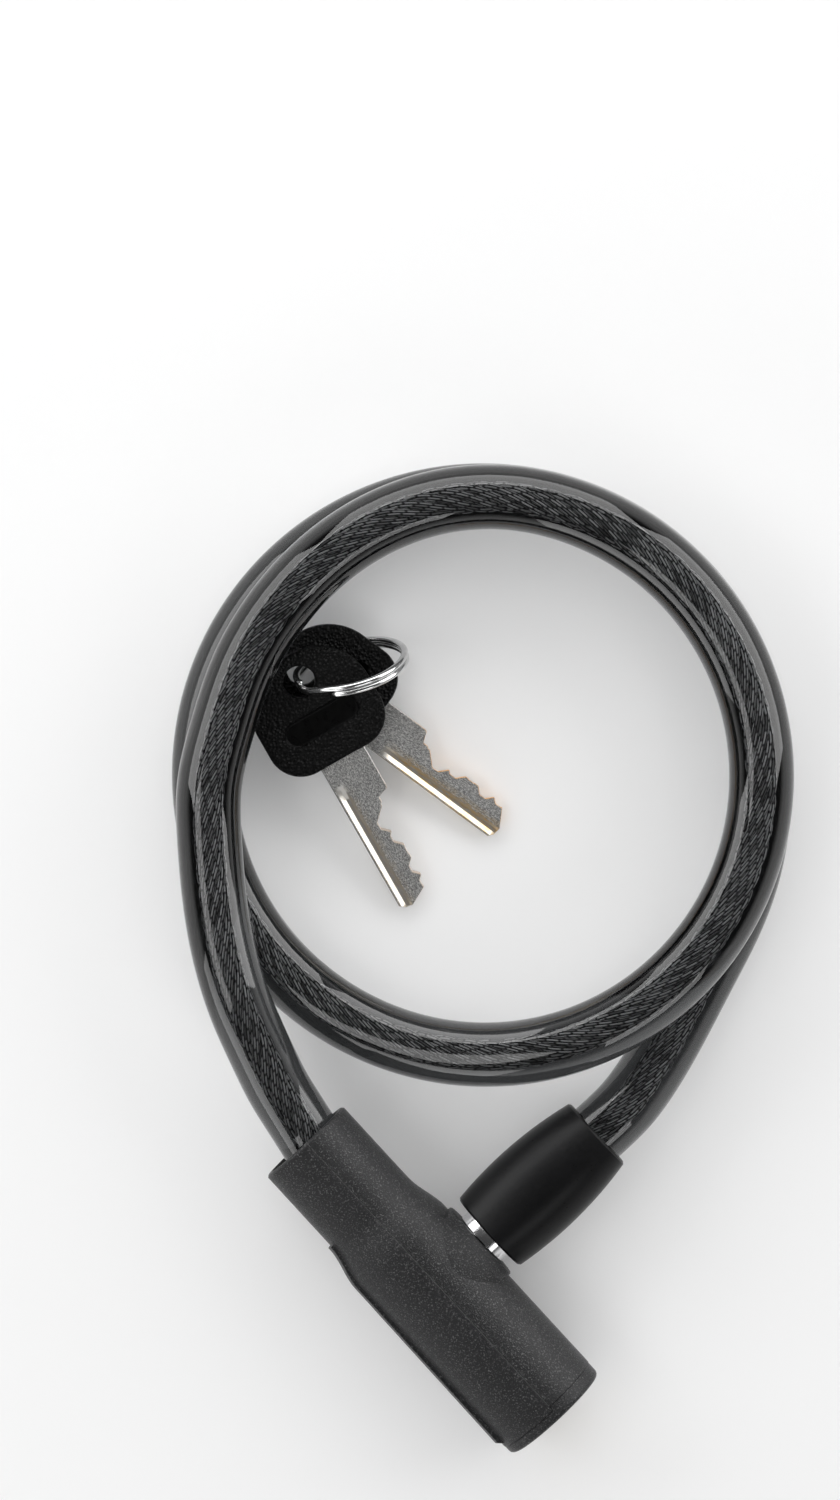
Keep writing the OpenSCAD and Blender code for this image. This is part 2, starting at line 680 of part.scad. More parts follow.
module key_bow() {
    end_r = 10.8;
    front_r = 6.5;
    recess_len = 14;
    recess_w = 4.8;
    difference() {
        hull() for (side = [-1, 1]) {
            translate([end_r - bow_end, side * (bow_w / 2 - end_r), 0]) bow_corner(end_r);
            translate([bow_front - front_r, side * (bow_w / 2 - front_r), 0]) bow_corner(front_r);
        }
        rod_z(bow_hole_d / 2, -bow_t, bow_t);
        block([bow_front - tang_len - 0.1, -tang_w / 2 - contact, -blade_t / 2 - contact],
              [bow_front + 1, tang_w / 2 + contact, blade_t / 2 + contact]);
        for (side = [-1, 1]) translate([bow_front - 8.2, 0, side * bow_t / 2]) {
            for (y = [-1, 1]) translate([0, y * (recess_len - recess_w) / 2, 0])
                rod_z(recess_w / 2, -recess_depth, recess_depth);
            block([-recess_w / 2, -(recess_len - recess_w) / 2, -recess_depth],
                  [recess_w / 2, (recess_len - recess_w) / 2, recess_depth]);
        }
    }
}

// A groove along the blade's face: level at its foot, with a slope where it runs out.
module blade_groove(start, side, width, depth) {
    slope = 0.25;
    intersection() {
        translate([0, side, 0]) rotate([-90, 0, 0]) linear_extrude(width) polygon([
            [start, -blade_t / 2], [start + 3, depth - blade_t / 2],
            [blade_len + 1, depth - blade_t / 2], [blade_len + 1, -blade_t], [start, -blade_t]]);
        rotate([90, 0, 90]) linear_extrude(blade_len + 1) polygon([
            [side, blade_t], [side, blade_t / 2], [side + slope, blade_t / 2 - depth],
            [side + width - slope, blade_t / 2 - depth], [side + width, blade_t / 2],
            [side + width, blade_t]]);
    }
}

// The blade's back edge is straight; its cuts are on the other edge.
module key_blade() {
    back = -shank_w / 2;
    cut_edge = back + blade_w;
    corner = 0.8;
    lip = 0.35;
    translate([bow_front, 0, 0]) difference() {
        union() {
            translate([0, 0, -blade_t / 2]) linear_extrude(blade_t) polygon(concat(
                [[0.1, back], [blade_len - 1, back], [blade_len - 0.2, back + 1],
                 [blade_len, back + 2.5], [blade_len - 2, cut_edge - 0.6],
                 [blade_len - 2.3, cut_edge], [shank_len + 1.9, cut_edge],
                 [shank_len + 1.6, cut_edge + lip], [shank_len + 0.6, cut_edge + lip]],
                [for (a = [0:22.5:90]) [shank_len - corner + corner * cos(a),
                    shank_w / 2 - corner + corner * sin(a)]],
                [[0.1, shank_w / 2]]));
            block([-tang_len, -tang_w / 2, -blade_t / 2], [1, tang_w / 2, blade_t / 2]);
        }
        for (i = [0:len(cut_depths) - 1]) let (reach = cut_depths[i] + 2 * lip)
            translate([shank_len + first_cut + i * wafer_pitch, cut_edge - cut_depths[i], -blade_t])
                linear_extrude(2 * blade_t) polygon([
                    [-cut_root / 2, 0], [cut_root / 2, 0],
                    [cut_root / 2 + reach, reach], [-cut_root / 2 - reach, reach]]);
        blade_groove(4.3, back + 0.4, 2, 0.55);
        rotate([180, 0, 0]) blade_groove(4.3, -cut_edge + 0.6, 1.3, 0.45);
    }
}

module key_blade_1() { color(steel) at_key(0) key_blade(); }
module key_bow_1() { color(dark) at_key(0) key_bow(); }
module key_blade_2() { color(steel) at_key(1) key_blade(); }
module key_bow_2() { color(dark) at_key(1) key_bow(); }

cover_left();
cover_right();
end_collar();
lock_housing();
cable_anchor();
anchor_pin();
plug_retaining_pin();
cable_sleeve();
cable_core();
plug();
wafers();
wafer_springs();
locking_slider();
head_cover();
locking_bolt();
crimp_sleeve();
split_ring();
key_blade_1();
key_bow_1();
key_blade_2();
key_bow_2();
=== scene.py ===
# %% [markdown]
# # A coiled cable lock
# A steel cable in a smoky clear sleeve winds almost twice round and ends in a lock barrel and
# a plug-in head. Its two keys lie inside the loop on a split ring. The CAD model gives every
# size and the pieces inside. This script makes the finer forms of what is seen, and gives each
# piece its surface.

# %% Load the frame
import json
import math
import bpy
import numpy as np
from mathutils import Matrix, Vector

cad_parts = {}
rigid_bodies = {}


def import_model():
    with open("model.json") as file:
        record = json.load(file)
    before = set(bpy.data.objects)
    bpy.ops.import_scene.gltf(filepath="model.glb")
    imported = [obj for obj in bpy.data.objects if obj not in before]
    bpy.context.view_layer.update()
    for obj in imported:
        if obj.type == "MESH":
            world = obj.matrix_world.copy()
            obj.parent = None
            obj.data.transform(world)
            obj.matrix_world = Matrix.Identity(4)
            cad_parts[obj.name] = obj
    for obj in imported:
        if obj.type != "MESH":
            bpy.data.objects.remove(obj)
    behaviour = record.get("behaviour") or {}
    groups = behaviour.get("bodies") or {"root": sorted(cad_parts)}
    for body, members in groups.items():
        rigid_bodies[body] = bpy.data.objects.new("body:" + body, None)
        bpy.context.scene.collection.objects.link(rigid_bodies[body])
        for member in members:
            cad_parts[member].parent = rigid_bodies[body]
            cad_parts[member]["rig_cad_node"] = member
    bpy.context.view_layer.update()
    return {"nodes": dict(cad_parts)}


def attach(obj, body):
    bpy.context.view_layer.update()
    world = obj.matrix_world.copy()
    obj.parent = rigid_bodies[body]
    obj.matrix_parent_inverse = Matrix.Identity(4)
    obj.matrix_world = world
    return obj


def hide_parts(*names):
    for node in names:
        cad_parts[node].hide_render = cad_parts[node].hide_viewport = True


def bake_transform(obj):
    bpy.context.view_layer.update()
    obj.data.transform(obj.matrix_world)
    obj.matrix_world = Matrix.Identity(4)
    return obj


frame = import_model()
nodes = frame["nodes"]
MM = 0.001

# %% [markdown]
# ## The camera
# The lock lies flat and is seen from straight above, so the camera looks down the Z axis.
# A long lens from 0.9 m keeps the stacked turns nearly in line with each other.

# %% Camera
CAMERA_HEIGHT = 900 * MM
FRAME_HEIGHT = 282.75 * MM    # what the frame covers on the floor
MIDDLE_X, MIDDLE_Y = -11.35 * MM, 4.84 * MM    # what lies in the middle of the frame
SENSOR_HEIGHT = 36            # mm

lens = bpy.data.cameras.new("camera")
lens.sensor_fit = "VERTICAL"
lens.sensor_height = SENSOR_HEIGHT
lens.lens = SENSOR_HEIGHT * CAMERA_HEIGHT / FRAME_HEIGHT
camera = bpy.data.objects.new("camera", lens)
camera.location = (MIDDLE_X, MIDDLE_Y, CAMERA_HEIGHT)
bpy.context.scene.collection.objects.link(camera)
bpy.context.scene.camera = camera
print("lens:", round(lens.lens, 1), "mm")

# %% [markdown]
# ## The cable's way
# The cable is 12 mm thick, about 66 cm long and stiff, so its bends are wide and even. Its way
# is the one of the CAD model: the same listed points for the two ends and the same formula
# for the turns. A cubic spline through them has no kinks, which matters here, because a clear
# sleeve shows every kink twice: in its outline and in its highlights.

# %% Points of the cable
cable_d, core_d = 12 * MM, 3.8 * MM
low_z, high_z = 6 * MM, 18.6 * MM                              # middle of the lower and the upper turn
mouth = Vector((-32.8, -68.0, 11.05)) * MM
heading = math.radians(-47.4)
along = Vector((math.cos(heading), math.sin(heading), 0))      # barrel, from mouth to keyhole
across = Vector((-math.sin(heading), math.cos(heading), 0))    # bolt, from barrel to head
bolt_x = 35.7 * MM                                             # from the mouth, along the barrel
sleeve_start, core_start = 19.0 * MM, 23.45 * MM               # inside the barrel, from its mouth
sleeve_end, core_end = 33.0 * MM, 19.4 * MM                    # inside the head, from the barrel

# Listed points: x and y in mm, and the share of the height between the two turns.
lead_in = [
    (-32.0, -67.2, 0.40), (-35.0, -62.4, 0.45), (-37.8, -57.7, 0.55), (-40.1, -52.9, 0.67),
    (-42.3, -48.0, 0.79), (-44.3, -43.2, 0.90), (-46.0, -38.2, 0.97), (-47.4, -33.0, 1.00),
    (-49.2, -23.0, 1.00), (-50.2, -12.0, 1.00), (-50.2, -1.5, 1.00)]
lead_out = [
    (52.0, -8.0, 0.00), (49.9, -19.0, 0.00), (46.0, -29.0, 0.00), (41.2, -38.3, 0.00),
    (37.5, -45.3, 0.05), (33.5, -52.3, 0.16), (29.9, -57.7, 0.29), (26.9, -61.4, 0.38)]

# The turns in between: radii in mm, angles in degrees.
UPPER_R, LOWER_R, LOWER_OVAL, OVAL_AT = 51.7, 52.2, 0.5, 40
DENT, DENT_AT, DENT_SPREAD = 3.3, 155, 75
DROP_FROM, DROP_OVER = -50, 80
TURN_FROM, TURN_TO, TURN_PARTS = 170, -352, 36


def lock_point(x, y, z=0.0):
    """A point of the lock, x along the barrel and y along the bolt."""
    return mouth + along * x + across * y + Vector((0, 0, z))


def raised(p):
    """A listed point in metres, its height between the two turns."""
    return Vector((p[0] * MM, p[1] * MM, low_z + p[2] * (high_z - low_z)))


def ease(t):
    """From 0 to 1 with a soft start and a soft end."""
    t = min(1.0, max(0.0, t))
    return t * t * (3 - 2 * t)


def turn_point(degrees):
    """Where the coil is at an angle: on the upper level, dented, then down to the lower one."""
    a = math.radians(degrees)
    drop = ease((DROP_FROM - degrees) / DROP_OVER)
    from_dent = min(1, abs(degrees - DENT_AT) / DENT_SPREAD)
    upper = UPPER_R - DENT * math.cos(from_dent * math.pi / 2) ** 2
    lower = LOWER_R + LOWER_OVAL * math.cos(a - math.radians(OVAL_AT))
    r = ((1 - drop) * upper + drop * lower) * MM
    return Vector((r * math.cos(a), r * math.sin(a), high_z - drop * (high_z - low_z)))


route = [lock_point(core_start, 0)]
route += [lock_point(sleeve_start - x * cable_d, 0) for x in (0, 0.5, 1)]
route += [raised(p) for p in lead_in]
route += [turn_point(TURN_FROM + i * (TURN_TO - TURN_FROM) / TURN_PARTS) for i in range(TURN_PARTS + 1)]
route += [raised(p) for p in lead_out]
route += [lock_point(bolt_x, sleeve_end + x * cable_d) for x in (1, 0.5, 0)]
route += [lock_point(bolt_x, core_end)]
print("points on the cable's way:", len(route))


# %% Smooth line through the points
def spline(points, step):
    """Evenly spaced points on the natural cubic spline through the given points."""
    p = np.array(points, float)
    t = np.concatenate([[0], np.cumsum(np.linalg.norm(np.diff(p, axis=0), axis=1))])
    h = np.diff(t)[:, None]
    n = len(p)
    rows, right = np.eye(n), np.zeros((n, 3))
    for i in range(1, n - 1):
        rows[i, i - 1:i + 2] = h[i - 1, 0], 2 * (h[i - 1, 0] + h[i, 0]), h[i, 0]
        right[i] = 6 * ((p[i + 1] - p[i]) / h[i] - (p[i] - p[i - 1]) / h[i - 1])
    bend = np.linalg.solve(rows, right)

    def at(s):
        i = np.clip(np.searchsorted(t, s, side="right") - 1, 0, n - 2)
        a, b = (t[i + 1] - s)[:, None], (s - t[i])[:, None]
        return (bend[i] * a ** 3 + bend[i + 1] * b ** 3) / (6 * h[i]) \
            + (p[i] / h[i] - bend[i] * h[i] / 6) * a + (p[i + 1] / h[i] - bend[i + 1] * h[i] / 6) * b

    fine = at(np.linspace(0, t[-1], 8000))
    gone = np.concatenate([[0], np.cumsum(np.linalg.norm(np.diff(fine, axis=0), axis=1))])
    wanted = np.linspace(0, gone[-1], int(round(gone[-1] / step)) + 1)
    return np.stack([np.interp(wanted, gone, fine[:, k]) for k in range(3)], axis=1)


def line_length(line):
    return float(np.linalg.norm(np.diff(line, axis=0), axis=1).sum())


def nearest(line, point):
    return int(np.argmin(np.linalg.norm(line - np.array(point), axis=1)))


LINE_STEP = 0.8 * MM
TAIL_FROM = raised((52.3, 2.0, 0))    # where the part that bends begins, on the lower turn
core_line = spline(route, LINE_STEP)
first = nearest(core_line, lock_point(sleeve_start, 0))
last = nearest(core_line, lock_point(bolt_x, sleeve_end))
split = nearest(core_line[last // 2:], TAIL_FROM) + last // 2
sleeve_line = core_line[first:last + 1]
print("sleeve length:", round(line_length(sleeve_line) * 100, 1), "cm, split at ring", split)

# %% [markdown]
# ## Meshes from rings
# Most round pieces here are one closed section that travels along a line. The helper below
# takes rows of rings and joins them with quads, with UV coordinates round and along, so the
# same few lines serve the sleeve, the strands, the key ring and the keys.


# %% Mesh helpers
def new_object(name, vertices, faces, uv=None, smooth=True):
    """A mesh in the scene. Each corner of each face has its own UV."""
    mesh = bpy.data.meshes.new(name)
    mesh.from_pydata([tuple(v) for v in vertices], [], faces)
    if uv is not None:
        layer = mesh.uv_layers.new(name="round_and_along")
        layer.data.foreach_set("uv", np.array(uv, np.float32).ravel())
    mesh.polygons.foreach_set("use_smooth", [smooth] * len(mesh.polygons))
    mesh.update()
    made = bpy.data.objects.new(name, mesh)
    bpy.context.scene.collection.objects.link(made)
    return made


def sweep(rings, start=0, caps=(True, True), lengths=None):
    """Quads between rings of points. Returns vertices, faces and UVs, numbered from start."""
    rings = np.asarray(rings)
    n, m = rings.shape[:2]
    lengths = np.arange(n) if lengths is None else lengths
    faces, uv = [], []
    for i in range(n - 1):
        near, far = start + i * m, start + (i + 1) * m
        for k in range(m):
            j = (k + 1) % m
            faces.append([near + k, near + j, far + j, far + k])
            uv += [(k / m, lengths[i]), ((k + 1) / m, lengths[i]),
                   ((k + 1) / m, lengths[i + 1]), (k / m, lengths[i + 1])]
    for wanted, row, order in ((caps[0], 0, -1), (caps[1], n - 1, 1)):
        if wanted:
            faces.append([start + row * m + k for k in range(m)][::order])
            uv += [(0, 0)] * m
    return rings.reshape(-1, 3), faces, uv


def side_and_up(line):
    """At each point of a line: the level direction to its side, and the one square to both."""
    way = np.gradient(line, axis=0)
    way /= np.linalg.norm(way, axis=1)[:, None]
    side = np.cross(way, (0, 0, 1))
    side /= np.linalg.norm(side, axis=1)[:, None]
    return side, np.cross(side, way)


def tube_rings(line, radius, sides, offset=None):
    """Round rings along a line, or along one that is offset from it."""
    side, up = side_and_up(line)
    a = np.arange(sides) * 2 * np.pi / sides
    ring = radius * (np.cos(a)[None, :, None] * side[:, None] - np.sin(a)[None, :, None] * up[:, None])
    return line[:, None] + ring + (0 if offset is None else offset[:, None])


# %% [markdown]
# ## Sleeve and core
# The sleeve is a clear tube drawn tightly over seven twisted strands. It is one smooth tube,
# cut once on the lower turn: the long part belongs to the lock body, and the last 9 cm is a
# piece of its own. Six strands run round the seventh in a long helix. Real meshes and not a
# painted cylinder, because the clear sleeve magnifies them and shows their outline.

# %% Sleeve and strands
STRAND_LAY = 26 * MM                                  # the length in which a strand goes round once
SLEEVE_SIDES, STRAND_SIDES, MIDDLE_SIDES = 64, 12, 8
strand_r = core_d / 6
gone = np.arange(len(core_line)) * LINE_STEP


def sleeve_part(name, i, j, caps):
    """The sleeve from one place of the line to another."""
    v, f, uv = sweep(tube_rings(core_line, cable_d / 2, SLEEVE_SIDES)[i:j + 1], caps=caps)
    return new_object(name, v, f, uv)


def strand_part(name, i, j):
    """The seven strands from one place of the line to another, as one mesh."""
    side, up = side_and_up(core_line)
    vertices, faces, uv = [], [], []
    for k in range(6):
        a = 2 * np.pi * (gone / STRAND_LAY + k / 6)
        offset = 2 * strand_r * (np.cos(a)[:, None] * side - np.sin(a)[:, None] * up)
        rings = tube_rings(core_line, strand_r, STRAND_SIDES, offset)[i:j + 1]
        v, f, u = sweep(rings, start=sum(len(x) for x in vertices), lengths=gone[i:j + 1] / MM)
        vertices.append(v)
        faces += f
        uv += u
    v, f, u = sweep(tube_rings(core_line, strand_r, MIDDLE_SIDES)[i:j + 1],
                    start=sum(len(x) for x in vertices), lengths=gone[i:j + 1] / MM)
    return new_object(name, np.concatenate(vertices + [v]), faces + f, uv + u)


sleeve = sleeve_part("sleeve", first, split, (True, False))
sleeve_tail = sleeve_part("sleeve_tail", split, last, (False, True))
core = strand_part("core_strands", 0, split)
core_tail = strand_part("core_strands_tail", split, len(core_line) - 1)
print("sleeve faces:", len(sleeve.data.polygons), "strand faces:", len(core.data.polygons))

# %% [markdown]
# ## How the cable moves
# The coil lies still with the barrel, but its free end is fixed in the head. When the head is
# pulled out, that end has to bend and not tear. Here the coil rides on the lock's body, and the
# end is a piece of its own that stays where it lies, on no body.

# %% The cable on the lock's body, and its end piece
for piece, node in ((sleeve, "cable_sleeve"), (core, "cable_core")):
    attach(piece, "lock_body")
    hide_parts(node)
for piece, node in ((sleeve_tail, "cable_sleeve"), (core_tail, "cable_core")):
    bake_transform(piece)
    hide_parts(node)

# %% [markdown]
# ## Split ring
# A split ring is one springy wire wound almost twice round, so two turns lie on each other and
# step past at one place. The ring is swept along that very line, with a flattened section, and
# not made of two closed circles, because the step and the open end are what the eye looks for.

# %% Ring
ring_d, wire_w, wire_t, wire_gap = 22 * MM, 1.3 * MM, 1.05 * MM, 0.06 * MM
ring_centre = Vector((-24.2, 20.4, 10.8)) * MM
RING_HEADING, RING_TILT, WIRE_END_AT = 13.8, 90 + 24, 160     # degrees
RING_TURN, JOG_FROM = 675, 315                                 # degrees along the wire
END_SHARE, END_TURN = 0.55, 4                                  # each end thins to this share over this turn
RING_STEPS, RING_SIDES, ROUNDNESS = 800, 40, 0.86
ring_place = Matrix.Translation(ring_centre) \
    @ Matrix.Rotation(math.radians(RING_HEADING), 4, "Z") \
    @ Matrix.Rotation(math.radians(RING_TILT), 4, "X") \
    @ Matrix.Rotation(math.radians(WIRE_END_AT), 4, "Z")


def superellipse(width, height, sides, power):
    """A closed section between an oval, power 1, and a rectangle, power 0."""
    a = np.arange(sides) * 2 * np.pi / sides
    c, s = np.cos(a), np.sin(a)
    return np.stack([width / 2 * np.sign(c) * np.abs(c) ** power,
                     height / 2 * np.sign(s) * np.abs(s) ** power], axis=1)


def make_ring():
    rings = []
    section = superellipse(wire_w, wire_t, RING_SIDES, ROUNDNESS)
    for degrees in np.linspace(0, RING_TURN, RING_STEPS):
        a = math.radians(degrees)
        rise = (wire_t + wire_gap) * (ease((degrees - JOG_FROM) / (360 - JOG_FROM)) - 0.5)
        out = np.array((math.cos(a), math.sin(a), 0))
        from_end = min(degrees, RING_TURN - degrees) / END_TURN
        taper = min(1, END_SHARE + (1 - END_SHARE) * from_end)
        centre = out * (ring_d - wire_w) / 2 + (0, 0, rise)
        rings.append([ring_place @ Vector(centre + out * x * taper + np.array((0, 0, z * taper)))
                      for x, z in section])
    v, f, uv = sweep(rings)
    return new_object("ring_wire", v, f, uv)


ring_wire = make_ring()
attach(ring_wire, "key_ring")
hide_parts("split_ring")
print("ring wire faces:", len(ring_wire.data.polygons))

# %% [markdown]
# ## Key bows
# A moulded bow is a plate with a soft outline, rounded edges, a hole for the ring and a shallow
# oval recess. Cutting these with booleans would leave ragged shading, so the plate is laid out
# as rays from the hole to the outline, and one height is worked out for every point: it falls
# off at the two edges and dips in the recess.

# %% Bow outline and height
bow_w, bow_len, bow_t, bow_end, bow_hole_r = 23.6 * MM, 22.1 * MM, 2.8 * MM, 5.3 * MM, 3 * MM
bow_front = bow_len - bow_end
END_R, FRONT_R, EDGE_R, HOLE_EDGE_R = 10.8 * MM, 6.5 * MM, 0.7 * MM, 0.35 * MM
RECESS_X, RECESS_LENGTH, RECESS_WIDTH, RECESS_DEPTH = 8.6 * MM, 15.0 * MM, 4.8 * MM, 0.35 * MM
RECESS_WALL = 0.5 * MM                        # how wide the slope down into the recess is
RIM_HALF, HOLE_HALF = 0.35 * MM, 0.5 * MM     # half the height of the straight wall in the middle
key_hole = [Vector((-33.9, 17.7, 11.5)) * MM, Vector((-33.4, 20.1, 6.4)) * MM]
key_turn = [(-60.5, 12.2), (-36.5, 6.2)]      # degrees: heading, and slope to the floor


def key_place(i):
    """Where a key lies: its hole, its heading and its slope to the floor."""
    heading, slope = key_turn[i]
    return Matrix.Translation(key_hole[i]) @ Matrix.Rotation(math.radians(heading), 4, "Z") \
        @ Matrix.Rotation(math.radians(slope), 4, "Y")


def bow_outline(count):
    """Evenly spread points of the outline, which is a band drawn tightly round four discs."""
    discs = [(END_R - bow_end, bow_w / 2 - END_R, END_R),
             (bow_front - FRONT_R, bow_w / 2 - FRONT_R, FRONT_R)]
    turn = np.radians(0.5)
    a = np.arange(720) * turn
    way = np.stack([np.cos(a), np.sin(a)], axis=1)
    reach = np.max([x * way[:, 0] + abs(y * way[:, 1]) + r for x, y, r in discs], axis=0)
    turned = np.gradient(np.concatenate([reach[-1:], reach, reach[:1]]), turn)[1:-1]
    edge = reach[:, None] * way + turned[:, None] * np.stack([-way[:, 1], way[:, 0]], axis=1)
    edge = np.concatenate([edge, edge[:1]])
    gone = np.concatenate([[0], np.cumsum(np.linalg.norm(np.diff(edge, axis=0), axis=1))])
    wanted = np.linspace(0, gone[-1], count, endpoint=False)
    return np.stack([np.interp(wanted, gone, edge[:, k]) for k in range(2)], axis=1)


def fall(distance, radius):
    """How far a rounded edge has dropped at a distance from its rim."""
    d = np.clip(radius - distance, 0, radius)
    return radius - np.sqrt(radius ** 2 - d ** 2)


def bow_height(p, edge):
    """How high the bow's face stands at places p."""
    rim = np.min(np.linalg.norm(p[:, None] - edge[None], axis=2), axis=1)
    hole = np.linalg.norm(p, axis=1) - bow_hole_r
    reach = (RECESS_LENGTH - RECESS_WIDTH) / 2
    along_recess = np.clip(p[:, 1], -reach, reach)
    inside = RECESS_WIDTH / 2 - np.hypot(p[:, 0] - RECESS_X, p[:, 1] - along_recess)
    share = np.clip(inside / RECESS_WALL + 0.5, 0, 1)
    dip = RECESS_DEPTH * share ** 2 * (3 - 2 * share)
    return bow_t / 2 - fall(rim, EDGE_R) - fall(hole, HOLE_EDGE_R) - dip


# %% Bow meshes
def make_bow(i, rays=280, steps=64):
    """Rings of points from the hole out to the rim, round it and back along the under side."""
    edge = bow_outline(rays)
    reach = np.linalg.norm(edge, axis=1)
    even = np.linspace(0, 1, steps + 1)
    closer_at_edges = (1 - np.cos(np.pi * even)) / 2
    layers = []
    for share in 0.25 * closer_at_edges + 0.75 * even:
        p = edge * ((bow_hole_r + share * (reach - bow_hole_r)) / reach)[:, None]
        layers.append(np.column_stack([p, bow_height(p, edge)]))
    top = layers + [np.column_stack([edge, np.full(rays, z)]) for z in (RIM_HALF, 0)]
    under = [layer * (1, 1, -1) for layer in reversed(top[:-1])]
    hole = [np.column_stack([layers[0][:, :2], np.full(rays, z)]) for z in (-HOLE_HALF, HOLE_HALF)]
    rings = np.array(top + under + hole)
    place = np.array(key_place(i))
    rings = rings @ place[:3, :3].T + place[:3, 3]
    v, f, uv = sweep(rings, caps=(False, False))
    m, n = rays, len(rings)
    f += [[(n - 1) * m + k, (n - 1) * m + (k + 1) % m, (k + 1) % m, k] for k in range(m)]
    uv += [(0, 0)] * 4 * m
    return new_object(f"bow_{i + 1}", v, f, uv)


bows = [make_bow(0), make_bow(1)]
for i, bow in enumerate(bows):
    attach(bow, f"key_{i + 1}")
    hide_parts(f"key_bow_{i + 1}")
print("bow faces:", [len(bow.data.polygons) for bow in bows])

# %% [markdown]
# ## Key blades
# A blade is milled from flat stock: a narrow wedge-shaped groove near its back edge, cuts for the
# wafers on the other, and a fine bevel all round, which the light picks out as a bright line.
# The mesh is a row of closed sections along the blade. Each section reads the two edges at its
# own place from the outline, so steps, cuts and the groove's run-out need no booleans.

# %% Outline and cuts of a blade
blade_t, shank_w, blade_w, shank_len, blade_len = 2 * MM, 9.2 * MM, 6.6 * MM, 9.2 * MM, 31 * MM
back = -shank_w / 2
cut_edge = back + blade_w
TANG_LEN, TANG_HALF, BEVEL, LIP, CORNER = 5.2 * MM, 3.5 * MM, 0.16 * MM, 0.35 * MM, 0.8 * MM
FIRST_CUT, CUT_PITCH, CUT_ROOT = 5.4 * MM, 3.4 * MM, 1.4 * MM
CUT_DEPTHS = [2.35, 1.4, 0.1, 1.15, 0.75]
GROOVE_START, GROOVE_RUN, GROOVE_DEPTH = 4.3 * MM, 3 * MM, 0.5 * MM
GROOVE_SHAPE = [(0.4, 0), (1.25, 1), (1.95, 1), (2.4, 0)]     # mm from the back edge, share of depth
STEP, BLADE_STEP = 0.01 * MM, 0.12 * MM                       # a sharp step's length, and the mesh's


def edge_line(points, x):
    """Straight lines from point to point, read at places x."""
    px, py = np.array(points).T
    return np.interp(x, px, py)


def blade_edges(x):
    """The back edge and the cut edge at places along the blade."""
    corner = [(shank_len - CORNER + CORNER * math.sin(a), shank_w / 2 - CORNER + CORNER * math.cos(a))
              for a in np.radians(np.arange(0, 91, 15))]
    upper = edge_line(
        [(-TANG_LEN, TANG_HALF), (-STEP, TANG_HALF), (0, shank_w / 2)] + corner
        + [(shank_len + 0.6 * MM, cut_edge + LIP), (shank_len + 1.6 * MM, cut_edge + LIP),
           (shank_len + 1.9 * MM, cut_edge), (blade_len - 2.3 * MM, cut_edge),
           (blade_len - 2 * MM, cut_edge - 0.6 * MM), (blade_len, back + 2.5 * MM)], x)
    lower = edge_line(
        [(-TANG_LEN, -TANG_HALF), (-STEP, -TANG_HALF), (0, back), (blade_len - 1 * MM, back),
         (blade_len - 0.2 * MM, back + 1 * MM), (blade_len, back + 2.45 * MM)], x)
    for i, depth in enumerate(CUT_DEPTHS):
        away = np.abs(x - (shank_len + FIRST_CUT + i * CUT_PITCH)) - CUT_ROOT / 2
        upper = np.minimum(upper, cut_edge - depth * MM + np.maximum(away, 0))
    return lower, upper


# %% Blade meshes
def make_blade(i):
    """Closed sections along the blade. They stand closer where its outline has a step or a corner."""
    corner = shank_len - CORNER + CORNER * np.sin(np.radians(np.arange(0, 91, 7.5)))
    steps = [-STEP, 0, 2 * STEP, blade_len - 2 * STEP]
    x = np.unique(np.concatenate([np.arange(-TANG_LEN, blade_len, BLADE_STEP), corner, steps]))
    lower, upper = blade_edges(x)
    bevel = np.minimum(BEVEL, (upper - lower) / 3)
    depth = GROOVE_DEPTH * np.clip((x - GROOVE_START) / GROOVE_RUN, 0, 1)
    half = blade_t / 2
    lines = [(lower, -half + bevel), (lower + bevel, -half), (upper - bevel, -half), (upper, -half + bevel),
             (upper, half - bevel), (upper - bevel, half)]
    lines += [(np.clip(back + y * MM, lower + bevel, upper - bevel), half - depth * share)
              for y, share in reversed(GROOVE_SHAPE)]
    lines += [(lower + bevel, half), (lower, half - bevel)]
    rings = np.stack([np.column_stack([bow_front + x, y, z + 0 * x]) for y, z in lines], axis=1)
    place = np.array(key_place(i))
    v, f, uv = sweep(rings @ place[:3, :3].T + place[:3, 3])
    return new_object(f"blade_{i + 1}", v, f, uv, smooth=False)


blades = [make_blade(0), make_blade(1)]
for i, blade in enumerate(blades):
    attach(blade, f"key_{i + 1}")
    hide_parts(f"key_blade_{i + 1}")
print("blade faces:", [len(blade.data.polygons) for blade in blades])

# %% [markdown]
# ## Sums in a material
# A material is a net of nodes. Written as boxes and wires it is hard to read, so a small class
# wraps a node's output and lets ordinary arithmetic add the Math nodes. Every other node comes
# from one method, which sets its options first and its inputs after.


